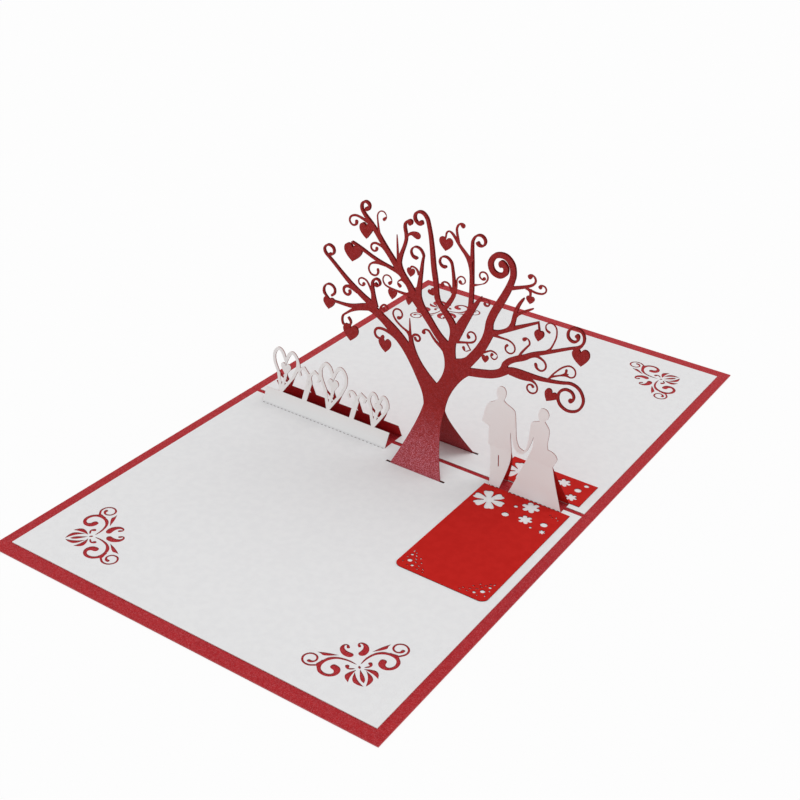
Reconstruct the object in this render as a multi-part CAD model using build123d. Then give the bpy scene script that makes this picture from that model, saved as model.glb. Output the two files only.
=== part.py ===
from build123d import *
import os
from math import atan2, cos, hypot, radians, sin

# Pop-up greeting card, lying fully open.
# X runs along the fold, -Y is the front page, +Y the rear page and +Z is up.
# The origin is under the middle of the fold, where the cover rests.

# Cover and liners
page_width = 170.0
page_depth = 150.0
cover_thickness = 0.5
liner_thickness = 0.3
side_border = 4.5
end_border = 6.0
gutter_width = 2.4
score_width = 0.9
score_depth = 0.2

# Red pop-up sheets and how they are held
sheet_thickness = 0.25
glue_tab = 9.0
slot_clearance = 0.5
slot_overrun = 2.0
fold_lead = 2.0
cut_overrun = 1.0

# Tree: its two layers meet above the fold and part below it as two legs
tree_height = 104.2
tree_foot_reach = 13.6
tree_place = 0.8

# Scroll garland, cut in the front liner and backed by a red strip
garland_length = 64.7
garland_height = 27.0
garland_band = 6.2
garland_stroke = 1.4
garland_join_height = 13.0
garland_foot_reach = 6.6
garland_margin = 7.4

# Standing couple, cut in the front liner and backed by a red layer
couple_height = 44.0
couple_join_height = 16.0
couple_foot_reach = 3.7
couple_inset = 15.2

# Red panels glued on the liners beside the couple
panel_width = 38.5
panel_depth = 67.0
rear_panel_depth = 17.4
panel_corner = 3.0
panel_margin = 3.7

# Corner ornaments cut through the liners
ornament_length = 22.0
ornament_side_margin = 29.8
ornament_end_margin = 29.2
ornament_turn = -135

# Ratios of the drawing: hundredths, how far the tree spreads along X, how late a curl
# tightens and how round its end is
percent = 0.01
tree_spread = 1.017
curl_ease = 1.5
nose_ratio = 0.3
petal_count = 6

# A curl has a point every so many degrees at this radius, and closer ones if it is larger
curl_step = 66.0
curl_step_radius = 2.7
curl_step_fall = 0.35

# Worked out from the sizes above
liner_top = cover_thickness + liner_thickness
tab_level = cover_thickness - sheet_thickness / 2
liner_level = cover_thickness + liner_thickness / 2
panel_level = liner_top + sheet_thickness / 2
span = page_width + page_depth
liner_half_width = page_width / 2 - side_border
garland_place = garland_margin - liner_half_width
panel_place = liner_half_width - panel_margin - panel_width
couple_place = panel_place + couple_inset

# Outline tables, in hundredths of the height or length that they follow.
# A station of a stroke is x, height and width. A curl is the place of its
# centre, its outer and inner radius, its start angle and sweep in degrees,
# and the width of its head.
leg_left_shares = ((-1.6, 0.0), (0.5, 5.7), (2.1, 11.3), (3.6, 17.0), (4.2, 22.6))
leg_right_shares = ((21.1, 0.0), (18.1, 5.7), (15.9, 11.3), (13.9, 17.0), (13.4, 22.6))
trunk_shares = (
    (4.2, 22.6), (3.8, 25.0), (3.0, 28.0), (1.0, 31.5), (-2.0, 36.5), (-5.8, 42.0),
    (-9.8, 46.0), (-7.6, 48.2), (-4.2, 45.9), (-3.1, 50.2), (-2.2, 46.4), (0.6, 41.0),
    (5.0, 36.5), (9.0, 33.4), (10.5, 35.8), (12.0, 39.8), (12.1, 43.6), (11.2, 47.2),
    (9.6, 49.4), (12.5, 51.4), (13.0, 54.0), (13.4, 58.5), (17.4, 57.6), (16.0, 54.0),
    (15.8, 50.0), (16.4, 46.6), (21.0, 48.2), (21.5, 44.4), (26.0, 45.2),
    (26.0, 42.7), (22.5, 41.4), (19.8, 38.6), (17.4, 35.0), (15.4, 31.0), (14.1, 27.0),
    (13.4, 22.6),
)
limb_shares = (
    (((20.2, 44.6, 4.2), (23.6, 49.6, 4.0), (26.6, 54.2, 3.8), (29.3, 61.0, 3.5),
      (28.9, 67.2, 3.2), (33.9, 77.8, 3.0), (36.2, 84.0, 2.3)),
     (31.3, 88.6, 5.1, 1.2, -5, 460, 3.4)),
    (((22.0, 43.0, 3.2), (28.0, 44.2, 3.4), (33.5, 45.7, 3.2), (37.2, 48.6, 3.6),
      (36.9, 51.6, 2.8), (40.2, 54.5, 2.2), (44.4, 56.4, 2.4), (47.5, 59.0, 1.8),
      (53.8, 61.9, 1.2), (61.5, 66.0, 1.0)),
     (62.7, 71.0, 3.9, 0.9, -50, 455, 2.2)),
    (((37.4, 48.8, 2.6), (41.0, 50.0, 2.4), (46.0, 50.0, 2.2), (52.0, 50.2, 1.5),
      (60.0, 51.3, 1.1)),
     (63.4, 46.3, 6.2, 1.0, 80, -500, 2.2)),
    (((29.5, 61.4, 2.6), (33.5, 63.7, 2.1), (38.0, 66.2, 1.7), (43.0, 69.0, 1.2),
      (48.3, 72.0, 0.9), (49.1, 68.6, 0.6)), None),
    (((38.2, 66.0, 1.6), (38.8, 72.0, 1.6), (39.4, 75.4, 1.3), (41.5, 79.4, 1.0)), None),
    (((15.2, 54.0, 3.4), (17.8, 61.8, 4.0), (20.6, 67.2, 2.8), (23.0, 71.6, 1.7),
      (24.8, 75.0, 0.6)), None),
    (((20.9, 67.5, 1.9), (20.6, 77.0, 1.7), (19.8, 87.5, 1.4), (19.3, 93.5, 0.9)),
     (22.4, 95.9, 2.7, 1.1, 175, -330, 1.6)),
    (((15.6, 57.8, 3.2), (12.2, 62.6, 2.6), (6.6, 68.0, 2.0), (5.6, 75.0, 2.0),
      (4.2, 80.5, 2.0), (2.7, 90.0, 1.5), (1.2, 96.0, 1.2)),
     (-2.9, 98.0, 2.9, 1.4, 40, 265, 2.5)),
    (((10.0, 65.6, 1.8), (13.7, 72.0, 1.8), (13.0, 78.5, 1.0), (12.0, 83.0, 0.7)),
     (8.6, 83.8, 2.7, 1.4, 30, 265, 1.4)),
    (((13.0, 50.2, 3.6), (8.0, 54.0, 2.9), (3.5, 59.4, 2.9), (-2.8, 66.0, 3.6),
      (-5.6, 70.4, 2.5), (-10.8, 75.8, 2.5), (-17.4, 83.2, 1.8), (-22.6, 89.6, 1.8),
      (-26.8, 93.4, 1.1)),
     (-26.2, 96.8, 2.2, 0.8, 200, -290, 2.2)),
    (((-1.8, 65.0, 3.2), (-1.4, 71.0, 1.9), (-0.9, 78.0, 1.2), (-0.6, 83.0, 0.7)),
     (-3.6, 84.1, 2.9, 1.6, 5, 280, 1.4)),
    (((-8.8, 74.3, 1.9), (-14.0, 75.2, 1.2), (-21.0, 76.8, 1.0), (-27.0, 79.2, 1.1),
      (-32.0, 81.0, 1.0)), None),
    (((-10.9, 76.4, 2.3), (-10.4, 81.0, 1.4), (-8.3, 87.0, 1.1), (-8.2, 90.4, 1.0)),
     (-7.2, 94.2, 2.0, 1.2, 190, -125, 3.1)),
    (((-3.0, 42.6, 4.0), (-10.0, 48.8, 4.2), (-17.0, 53.6, 3.2), (-22.0, 56.4, 3.6),
      (-27.0, 55.2, 2.3), (-32.0, 53.8, 1.3), (-38.0, 53.7, 0.9)),
     (-41.3, 57.6, 3.4, 1.7, 262, -330, 1.4)),
    (((-21.0, 57.2, 2.8), (-26.5, 60.0, 2.1), (-34.0, 65.0, 1.4), (-41.5, 71.3, 1.0)),
     (-42.0, 74.4, 2.8, 1.2, 195, -300, 1.3)),
    (((-20.4, 56.8, 3.0), (-21.4, 61.5, 1.7), (-21.9, 65.0, 1.1)),
     (-20.0, 67.2, 1.8, 0.8, 175, -320, 2.0)),
    (((-24.0, 55.4, 2.0), (-30.0, 53.2, 1.3), (-33.8, 50.0, 0.9)),
     (-33.0, 47.0, 2.4, 1.5, 150, 280, 1.2)),
)
twig_shares = (
    (((38.8, 71.8, 1.3), (42.0, 74.3, 1.1), (45.9, 76.9, 0.8)), None),
    (((30.8, 61.6, 1.4), (35.0, 61.5, 0.7)), (38.0, 58.4, 2.7, 1.1, 85, -320, 1.4)),
    (((27.4, 52.9, 1.0), (29.6, 54.3, 0.7)), (32.1, 53.1, 1.7, 0.7, 110, -340, 1.6)),
    (((42.2, 55.0, 1.4), (42.9, 58.0, 1.0), (45.2, 61.4, 0.8)),
     (44.6, 63.2, 1.3, 1.0, -10, 170, 2.0)),
    (((46.0, 58.2, 0.9),), (50.9, 55.6, 2.7, 1.5, 100, -285, 1.6)),
    (((53.4, 61.4, 0.8), (55.3, 66.0, 0.6)), (53.2, 71.1, 2.7, 1.2, -20, 290, 1.2)),
    (((54.2, 50.2, 0.9), (56.8, 54.6, 0.7)), (62.7, 56.7, 2.6, 1.3, 135, -340, 1.2)),
    (((55.4, 52.5, 0.7), (62.2, 55.8, 0.5)), None),
    (((39.0, 48.3, 1.2), (45.0, 48.6, 0.8)), (48.5, 45.5, 2.7, 0.8, 80, -410, 1.4)),
    (((15.6, 53.6, 1.2), (20.0, 54.8, 0.8)), (22.1, 58.1, 2.3, 1.0, -50, 280, 1.9)),
    (((18.6, 54.4, 0.6),), (20.4, 52.6, 1.6, 0.8, 85, -270, 1.6)),
    (((23.8, 72.8, 0.9),), (27.2, 73.2, 1.5, 0.7, 125, -290, 1.4)),
    (((19.9, 87.4, 1.8), (14.2, 92.6, 1.4), (10.8, 96.8, 0.9), (8.7, 96.6, 0.8),
      (8.5, 93.6, 0.7)), None),
    (((14.2, 92.4, 1.2), (13.1, 96.4, 1.0)), (14.5, 99.2, 1.6, 1.1, 190, -150, 2.5)),
    (((20.4, 78.3, 1.2), (24.0, 80.0, 0.8)), (24.9, 83.2, 2.1, 0.8, -45, 370, 1.7)),
    (((14.2, 73.0, 0.9), (14.6, 77.0, 0.7)), (16.5, 79.0, 1.8, 0.8, 175, -330, 1.9)),
    (((13.0, 73.0, 1.3), (11.6, 75.8, 0.8)), (9.6, 75.3, 1.3, 0.9, 60, 150, 2.2)),
    (((-1.6, 76.0, 1.2), (-2.8, 78.4, 0.8), (-5.2, 78.8, 0.8), (-5.6, 77.0, 0.7)), None),
    (((-3.0, 66.6, 1.7), (-9.0, 66.6, 1.0), (-14.0, 67.0, 0.7)),
     (-15.0, 70.0, 2.4, 1.2, 225, -290, 1.9)),
    (((-5.9, 70.2, 1.2), (-8.0, 71.4, 0.8)), (-9.4, 70.3, 1.2, 0.9, 85, 185, 2.0)),
    (((-16.6, 75.6, 0.9),), (-21.2, 72.4, 2.9, 1.5, 95, 295, 1.4)),
    (((-10.9, 78.4, 1.3), (-12.1, 89.4, 0.5)), None),
    (((-8.2, 89.4, 1.0), (-6.4, 91.6, 1.0), (-4.6, 91.6, 2.6), (-2.6, 91.2, 3.0)), None),
    (((-16.6, 82.5, 1.3), (-19.6, 83.3, 1.0)), (-21.6, 81.5, 1.8, 0.9, 95, 280, 1.7)),
    (((-19.6, 86.0, 1.1), (-20.8, 93.0, 0.6)), (-18.7, 95.1, 2.0, 1.2, 165, -235, 1.7)),
    (((-22.4, 90.0, 1.7), (-28.4, 92.1, 1.0)), (-31.3, 89.7, 2.2, 1.1, 90, 290, 1.9)),
    (((-21.6, 62.6, 1.3), (-23.6, 65.9, 0.8)), (-26.6, 65.6, 2.0, 0.8, 45, 310, 1.9)),
    (((-28.4, 60.8, 1.4),), (-33.1, 60.0, 2.1, 1.0, 70, 320, 1.9)),
    (((-9.0, 46.6, 1.6), (-13.6, 48.5, 1.2)), (-17.6, 46.3, 2.4, 1.6, 95, 250, 1.7)),
    (((-18.0, 55.2, 1.0),), (-15.7, 57.9, 1.5, 0.7, 165, -330, 1.9)),
    (((-3.2, 46.0, 2.2), (-3.9, 51.0, 1.1), (-4.5, 57.2, 0.4)), None),
    (((-3.7, 50.8, 0.9), (-8.4, 52.6, 0.8)), (-9.6, 57.2, 2.5, 1.3, 215, -310, 1.9)),
    (((-3.0, 49.6, 1.1),), (-0.7, 49.8, 1.5, 0.8, 130, -310, 1.5)),
    (((11.0, 49.2, 1.8), (7.2, 51.2, 1.1), (5.0, 53.8, 0.9)),
     (3.1, 53.4, 1.4, 1.0, 60, 140, 2.2)),
    (((36.4, 82.0, 1.6), (42.0, 84.2, 1.2), (45.0, 85.8, 1.0)),
     (44.2, 87.9, 1.3, 1.0, -5, 165, 2.5)),
    (((42.0, 83.8, 1.0), (47.0, 83.0, 0.8)), (48.5, 85.3, 1.6, 0.9, -50, 220, 2.0)),
    (((44.0, 84.0, 1.0), (44.2, 80.6, 0.9)), None),
)
limb_heart_shares = (
    (49.1, 67.0, 4.1, 4.4, 0), (66.0, 63.8, 7.4, 6.8, 8), (56.2, 44.7, 5.8, 5.4, -25),
    (-5.3, 64.2, 2.9, 3.6, 0), (-31.4, 76.7, 8.8, 7.4, 0), (-25.7, 87.2, 6.6, 6.4, 5),
    (-41.8, 52.1, 5.8, 5.2, 0), (-31.0, 42.4, 7.8, 7.2, 0),
)
twig_heart_shares = (
    (28.8, 50.9, 3.3, 3.3, 5), (8.8, 91.5, 6.5, 5.6, 0), (4.3, 70.8, 3.6, 3.0, 35),
    (-5.2, 76.1, 4.0, 3.8, 0), (-12.7, 64.9, 4.4, 4.6, 0), (-14.8, 42.2, 6.4, 6.2, 5),
    (44.3, 79.8, 3.8, 3.2, 0),
)
heart_half_shares = ((0.0, -0.5), (0.3, -0.12), (0.5, 0.2), (0.34, 0.48), (0.1, 0.46))
heart_notch_shares = (0.0, 0.28)
couple_shares = (
    (-30.0, 0.0), (-33.0, 20.0), (-36.5, 36.5), (-39.0, 37.5), (-40.0, 55.5), (-47.5, 58.5),
    (-46.0, 69.0), (-44.0, 79.0), (-37.0, 82.0), (-33.5, 86.0), (-36.0, 91.0),
    (-35.5, 97.0), (-31.0, 100.0), (-26.5, 97.0), (-26.0, 91.0), (-28.0, 86.0),
    (-25.0, 83.5), (-17.0, 80.5), (-15.2, 77.5), (-13.6, 66.0), (-11.0, 46.0),
    (-3.8, 42.4), (-1.8, 43.5), (0.6, 52.0), (0.6, 72.0), (2.0, 75.5), (9.0, 78.0),
    (6.6, 83.5), (7.2, 89.5), (11.5, 92.5), (16.5, 90.0), (17.6, 84.5), (14.0, 79.0),
    (17.5, 75.0), (20.0, 71.0), (18.6, 58.0), (20.0, 52.5), (25.0, 52.0), (29.5, 48.5),
    (30.2, 44.5), (26.5, 37.0), (33.5, 20.0), (43.5, 0.0), (-10.0, 0.0), (-5.5, 14.0),
    (1.6, 38.0), (5.6, 50.0), (5.0, 61.0), (2.6, 50.0), (-1.8, 39.4), (-8.0, 38.0),
    (-13.0, 42.0), (-16.0, 52.0), (-18.4, 57.5), (-15.4, 38.0), (-13.8, 28.0),
    (-17.0, 12.0), (-20.0, 0.0),
)
couple_feet_shares = ((-30.0, -20.0), (-10.0, 43.5))
couple_slit_shares = ((-27.2, 30.0), (-26.2, 30.2), (-24.2, 20.0), (-25.2, 19.8))
blade_shares = (
    ((0.0, 66.0), (5.0, 88.0), (0.0, 96.5), (-5.0, 88.0)),
    ((1.5, 104.0), (12.0, 98.0), (17.5, 87.0), (8.6, 70.5), (9.0, 87.0)),
    ((22.6, 91.0), (27.4, 77.0), (18.6, 69.0), (5.4, 66.2), (17.6, 79.0)),
)
diamond_shares = ((0.0, 65.5), (3.0, 61.5), (0.0, 57.5), (-3.0, 61.5))
wedge_shares = ((25.0, 30.5), (49.5, 28.5), (51.0, 23.0), (57.0, 17.5), (42.0, 21.5))
comma_shares = ((7.0, 63.4, 2.6), (17.4, 62.6, 5.0), (17.6, 54.6, 8.6))
lobe_shares = (
    (4.0, 34.0, 9.0), (13.0, 31.0, 13.0), (19.6, 19.5, 9.6), (16.4, 8.6, 5.6),
    (8.6, 7.6, 4.4), (8.6, 16.0, 6.4),
)
scroll_shares = (
    (3.0, 55.0, 2.0), (17.0, 40.0, 4.2), (38.0, 32.6, 5.6), (60.0, 45.0, 6.8),
    (60.5, 65.0, 7.2), (43.5, 75.0, 7.6), (31.4, 64.0, 12.0), (38.6, 52.5, 14.0),
)
tendril_shares = (((51.0, 37.5, 4.2),), (68.0, 31.0, 15.0, 5.4, 115, -440, 8.0))
big_petal_shares = ((0.3, 0.0), (0.88, 0.11), (1.06, 0.31), (0.93, 0.5), (1.06, 0.69), (0.88, 0.89))
petal_shares = ((0.62, 0.0), (1.08, 0.24), (1.08, 0.76))
bud_shares = ((1.0, 0.0),)
front_flower_shares = (
    (19.0, 24.0, 17.0, big_petal_shares), (61.0, 10.6, 9.4, petal_shares),
    (66.5, 33.0, 7.4, petal_shares), (45.5, 37.0, 4.4, bud_shares),
    (86.0, 30.0, 4.4, bud_shares), (47.5, 18.0, 2.6, bud_shares),
    (90.0, 42.0, 3.4, petal_shares), (77.0, 42.0, 1.8, bud_shares),
)
rear_flower_shares = (
    (19.0, 23.0, 17.0, big_petal_shares), (67.0, 31.5, 7.4, petal_shares),
    (85.5, 27.0, 4.4, bud_shares), (89.5, 39.5, 3.2, bud_shares), (85.5, 11.0, 6.2, petal_shares),
)
sprig_shares = ((7.0, 151.0, 1.8), (10.0, 160.0, 2.8), (16.0, 165.5, 1.9))
flower_rows_share = 0.45
sprig_rows_share = 1.74

# Garland: open hearts with a small heart in them, and pairs of curls between,
# as place along the band and height above it in hundredths
garland_heart_shares = ((12.0, 96.0), (51.0, 100.0), (87.0, 70.0))
garland_curl_shares = ((31.5, 76.0), (70.0, 62.0))
garland_heart_width_share = 0.74
inner_heart_share = 0.28
inner_heart_level_share = 0.45
curl_stem_shares = ((-0.03, -0.1), (-0.05, 0.5))
stem_curl_shares = (-0.22, 0.66, 0.17, 0.09, 0, 230)

# The leg's table ends at the waist, where the tree's two layers meet
tree_join_height = leg_left_shares[-1][1] * tree_height * percent


def outline_face(points):
    return make_face(Polyline(*points, close=True))


def scaled(points, size):
    return [(x * size, y * size) for x, y in points]


def spread(places):
    """Places of a table, moved apart along X as far as the tree spreads."""
    return [(x * tree_spread, *rest) for x, *rest in places]


def stroke(stations):
    """Closed outline of a round-ended stroke whose stations are x, y and width."""
    left, right = [], []
    for i, (x, y, width) in enumerate(stations):
        before = stations[max(i - 1, 0)]
        after = stations[min(i + 1, len(stations) - 1)]
        dx, dy = after[0] - before[0], after[1] - before[1]
        across = width / 2 / hypot(dx, dy)
        left.append((x - dy * across, y + dx * across))
        right.append((x + dy * across, y - dx * across))
    reach = nose_ratio * width / hypot(dx, dy)
    return left + [(x + dx * reach, y + dy * reach)] + right[::-1]


def curl_stations(curl, width):
    """Stations of a spiral that tightens from its outer to its inner radius."""
    x, y, outer, inner, start, sweep, head = curl
    step = curl_step * (curl_step_radius / outer) ** curl_step_fall
    count = round(abs(sweep) / step)
    around = 1 / cos(radians(sweep / count / 2))
    stations = []
    for i in range(count + 1):
        share = i / count
        radius = inner + (outer - inner) * (1 - share ** curl_ease)
        radius *= around
        angle = radians(start + sweep * share)
        here = head if i == count else width
        stations.append((x + radius * cos(angle), y + radius * sin(angle), here))
    return stations


def limb(entry, size):
    """One branch, scroll or twig, as a face at its real size."""
    stations, curl = entry
    sized = [(x * size, y * size, width * size) for x, y, width in stations]
    if curl:
        x, y, outer, inner, start, sweep, head = curl
        spiral = (x * size, y * size, outer * size, inner * size, start, sweep, head * size)
        sized += curl_stations(spiral, sized[-1][2])
    return outline_face(stroke(sized))


def heart(x, y, width, height, tilt, size):
    half = [(u * width * size, v * height * size) for u, v in heart_half_shares]
    notch = (heart_notch_shares[0], heart_notch_shares[1] * height * size)
    points = half + [notch] + [(-u, v) for u, v in half[:0:-1]]
    return Pos(x * size, y * size) * Rot(0, 0, tilt) * outline_face(points)


def section(path, thickness):
    """Closed section of a folded sheet along a bent path, mitred at its folds."""
    near, far = [], []
    for i, (y, z) in enumerate(path):
        before = path[max(i - 1, 0)]
        after = path[min(i + 1, len(path) - 1)]
        turn_in = atan2(z - before[1], y - before[0]) if i else None
        turn_out = atan2(after[1] - z, after[0] - y) if after != path[i] else turn_in
        turn_in = turn_out if turn_in is None else turn_in
        middle = (turn_in + turn_out) / 2
        reach = thickness / 2 / cos((turn_out - turn_in) / 2)
        near.append((y - reach * sin(middle), z + reach * cos(middle)))
        far.append((y + reach * sin(middle), z - reach * cos(middle)))
    return near + far[::-1]


def standing_sheet(path, thickness, outline):
    """Sheet folded along its path in Y and Z, cut to an outline seen from the front."""
    slab = extrude(Plane.YZ * outline_face(section(path, thickness)), amount=span, both=True)
    cutter = extrude(Plane.XZ * outline, amount=span, both=True)
    return slab & cutter


def foot_path(foot_reach, lead, foot_level, join_height, top, thickness):
    """Path of a front layer: flat lead, fold, leaning leg, fold, upright part."""
    plane_y = -thickness / 2
    return [
        (-foot_reach - lead, foot_level),
        (-foot_reach, foot_level),
        (plane_y, liner_top + join_height),
        (plane_y, liner_top + top),
    ]


def to_rear(shape):
    return mirror(shape, about=Plane.XZ)


def tree_outline(entries, hearts):
    size = tree_height * percent
    faces = [outline_face(scaled(spread(trunk_shares), size))]
    for stations, curl in entries:
        faces.append(limb((spread(stations), spread([curl])[0] if curl else None), size))
    faces += [heart(*entry, size) for entry in spread(hearts)]
    return Pos(tree_place, liner_top) * (Sketch() + faces)


def foot_ends():
    """Where the tree's foot begins and ends along the fold."""
    ends = spread([leg_left_shares[0], leg_right_shares[0]])
    return [tree_place + end * tree_height * percent for end, foot in ends]


def leg_outline():
    size = tree_height * percent
    left, right = (scaled(spread(side), size) for side in (leg_left_shares, leg_right_shares))
    top = tree_join_height + fold_lead
    above = [(left[-1][0], top), (right[-1][0], top)]
    below = [(right[0][0], -liner_top), (left[0][0], -liner_top)]
    return Pos(tree_place, liner_top) * outline_face(left + above + right[::-1] + below)


def tree_sheet(entries, hearts):
    """One layer of the tree: upright crown, leaning leg and glue tab."""
    crown = extrude(Plane.XZ * tree_outline(entries, hearts), amount=sheet_thickness)
    path = foot_path(
        tree_foot_reach, glue_tab, tab_level, tree_join_height,
        tree_join_height + fold_lead, sheet_thickness,
    )
    return crown + standing_sheet(path, sheet_thickness, leg_outline())


def paired_curls(place, height, width):
    """Two curls that rise side by side and turn away from the line x = place."""
    stations = [(x * height, y * height, width) for x, y in curl_stem_shares]
    x, y, outer, inner, start, sweep = stem_curl_shares
    spiral = (x * height, y * height, outer * height, inner * height, start, sweep, width)
    curl = outline_face(stroke(stations + curl_stations(spiral, width)))
    return [Pos(place, 0) * curl, Pos(place, 0) * mirror(curl, about=Plane.YZ)]


def open_heart(place, height):
    """Heart-shaped ring that stands on the band, with a small heart on a stem inside."""
    middle = height / 2 - garland_stroke
    rim = heart(place, middle, garland_heart_width_share * height, height, 0, 1)
    ring = rim - offset(rim, amount=-garland_stroke, kind=Kind.INTERSECTION)
    small = inner_heart_share * height
    level = inner_heart_level_share * height
    stem = Pos(place, level / 2) * Rectangle(garland_stroke, level)
    return [ring, stem, heart(place, level, small, small, 0, 1)]


def garland_outline():
    """Band with a row of open hearts and paired curls standing on it."""
    along = garland_length * percent
    up = (garland_height - garland_band) * percent
    middle = garland_place + garland_length / 2
    band_height = garland_band + liner_top
    faces = [Pos(middle, band_height / 2 - liner_top) * Rectangle(garland_length, band_height)]
    raised = []
    for place, height in garland_heart_shares:
        raised += open_heart(garland_place + place * along, height * up + garland_stroke)
    for place, height in garland_curl_shares:
        raised += paired_curls(garland_place + place * along, height * up, garland_stroke)
    faces += [Pos(0, garland_band) * face for face in raised]
    return Pos(0, liner_top) * (Sketch() + faces)


def couple_outline():
    """Two standing figures, hand in hand, with plain round heads."""
    size = couple_height * percent
    figures = outline_face(scaled(couple_shares, size))
    figures -= outline_face(scaled(couple_slit_shares, size))
    feet = []
    for left, right in couple_feet_shares:
        width = (right - left) * size
        feet.append(Pos((left + right) / 2 * size, -liner_top / 2) * Rectangle(width, liner_top))
    return Pos(couple_place, liner_top) * (Sketch() + [figures] + feet)


def ornament():
    """Corner ornament in its own axes, its bud pointing along +Y."""
    size = ornament_length * percent
    half = [outline_face(scaled(blade, size)) for blade in blade_shares[1:]]
    half.append(outline_face(scaled(wedge_shares, size)))
    half += [limb((entry, None), size) for entry in (comma_shares, lobe_shares)]
    half.append(Sketch() + [limb((scroll_shares, None), size), limb(tendril_shares, size)])
    whole = [outline_face(scaled(shares, size)) for shares in (blade_shares[0], diamond_shares)]
    return Sketch() + whole + half + [mirror(face, about=Plane.YZ) for face in half]


def corner_ornaments():
    """The front page's two ornaments, each pointing at its corner."""
    across = liner_half_width - ornament_side_margin
    along = page_depth - end_border - ornament_end_margin
    right = Pos(across, -along) * Rot(0, 0, ornament_turn) * ornament()
    return [right, mirror(right, about=Plane.YZ)]


def flower(x, y, radius, petals, size):
    """Flower-shaped hole: each petal's points are a reach and a share of its sector.

    Its place along X follows the panel's width, and the rest of it the given size.
    """
    points = []
    for i in range(petal_count):
        for reach, share in petals:
            angle = radians(360 / petal_count * (i + share))
            points.append((reach * radius * sin(angle), reach * radius * cos(angle)))
    along = x * panel_width * percent
    return Pos(along, -y * size) * outline_face(scaled(points, size))


def flower_size(depth, rows_share):
    """Size that keeps a panel's flowers within its width and its rows within its depth."""
    return min(panel_width, depth / rows_share) * percent


def page_sheet():
    """Front liner's flat outline, with its border left to the cover."""
    depth = page_depth - end_border - gutter_width / 2
    return Pos(0, -gutter_width / 2 - depth / 2) * Rectangle(2 * liner_half_width, depth)


def notch(left, right, foot_reach):
    """Opening beside the gutter, where a folded-up sheet came out of the liner."""
    depth = foot_reach - gutter_width / 2 + cut_overrun
    middle = -gutter_width / 2 + cut_overrun - depth / 2
    return Pos((left + right) / 2, middle) * Rectangle(right - left, depth)


def tree_slot():
    """Slot in the front liner that the tree's foot goes down through."""
    left, right = foot_ends()
    width = right - left + 2 * slot_overrun
    depth = sheet_thickness + 2 * slot_clearance
    return Pos((left + right) / 2, -tree_foot_reach) * Rectangle(width, depth)


def garland_notch(foot_reach):
    return notch(garland_place, garland_place + garland_length, foot_reach)


def couple_notch(foot_reach):
    ends = (couple_feet_shares[0][0], couple_feet_shares[-1][-1])
    left, right = (couple_place + end * couple_height * percent for end in ends)
    return notch(left, right, foot_reach)


def make_front_liner():
    """White liner of the front page, with the garland and the couple folded up out of it."""
    sheet = page_sheet() - corner_ornaments() - tree_slot()
    sheet -= [garland_notch(garland_foot_reach), couple_notch(couple_foot_reach)]
    plate = Pos(0, 0, cover_thickness) * extrude(sheet, amount=liner_thickness)
    garland = standing_sheet(
        foot_path(garland_foot_reach, fold_lead, liner_level, garland_join_height,
                  garland_height + fold_lead, liner_thickness),
        liner_thickness, garland_outline())
    couple = standing_sheet(
        foot_path(couple_foot_reach, fold_lead, liner_level, couple_join_height,
                  couple_height + fold_lead, liner_thickness),
        liner_thickness, couple_outline())
    return plate + garland + couple


def make_rear_liner():
    """White liner of the rear page."""
    clear_reach = garland_foot_reach + slot_clearance
    sheet = page_sheet() - corner_ornaments() - tree_slot()
    sheet -= [garland_notch(clear_reach), couple_notch(couple_foot_reach)]
    return to_rear(Pos(0, 0, cover_thickness) * extrude(sheet, amount=liner_thickness))


def tab_pocket(left, right, foot_reach):
    """Shallow pocket pressed into the cover by a glue tab."""
    depth = glue_tab + slot_clearance
    middle = -foot_reach - glue_tab / 2 + slot_clearance / 2
    pocket = Pos((left + right) / 2, middle) * Rectangle(right - left, depth)
    return Pos(0, 0, cover_thickness - sheet_thickness) * extrude(pocket, amount=liner_top)


def make_cover():
    """Red outer sheet, scored along its fold, with pockets for the glue tabs."""
    cover = Pos(0, 0, cover_thickness / 2) * Box(page_width, 2 * page_depth, cover_thickness)
    score = outline_face([
        (-score_width / 2, cover_thickness), (0, cover_thickness - score_depth),
        (score_width / 2, cover_thickness),
    ])
    cover -= extrude(Plane.YZ * score, amount=span, both=True)
    front_pocket = tab_pocket(*foot_ends(), tree_foot_reach)
    strip_pocket = tab_pocket(garland_place, garland_place + garland_length, garland_foot_reach)
    return cover - front_pocket - to_rear(front_pocket) - to_rear(strip_pocket)


def make_strip_back():
    """Red layer behind the garland, held by a tab under the rear liner."""
    path = foot_path(garland_foot_reach, glue_tab, tab_level, garland_join_height,
                     garland_height + fold_lead, sheet_thickness)
    return to_rear(standing_sheet(path, sheet_thickness, garland_outline()))


def panel_plate(depth, corner, flowers, openings):
    """Flat red panel with flower holes, its inner edge along the couple's crease."""
    size = flower_size(depth, flower_rows_share)
    edge = -couple_foot_reach - liner_thickness
    sheet = Pos(panel_width / 2, -depth / 2) * Rectangle(panel_width, depth)
    outer = sheet.vertices().group_by(Axis.Y)[0]
    sheet = fillet(outer, corner) if corner else sheet
    sheet -= [flower(*entry, size) for entry in flowers]
    sheet -= openings
    return Pos(panel_place, edge, liner_top) * extrude(sheet, amount=sheet_thickness)


def sprig_openings():
    """Small buds cut in the outer corners of the front panel."""
    size = flower_size(panel_depth, sprig_rows_share)
    buds = [flower(*entry, bud_shares, size) for entry in sprig_shares]
    return buds + [Pos(panel_width, 0) * mirror(bud, about=Plane.YZ) for bud in buds]


def make_front_panel():
    return panel_plate(panel_depth, panel_corner, front_flower_shares, sprig_openings())


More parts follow.
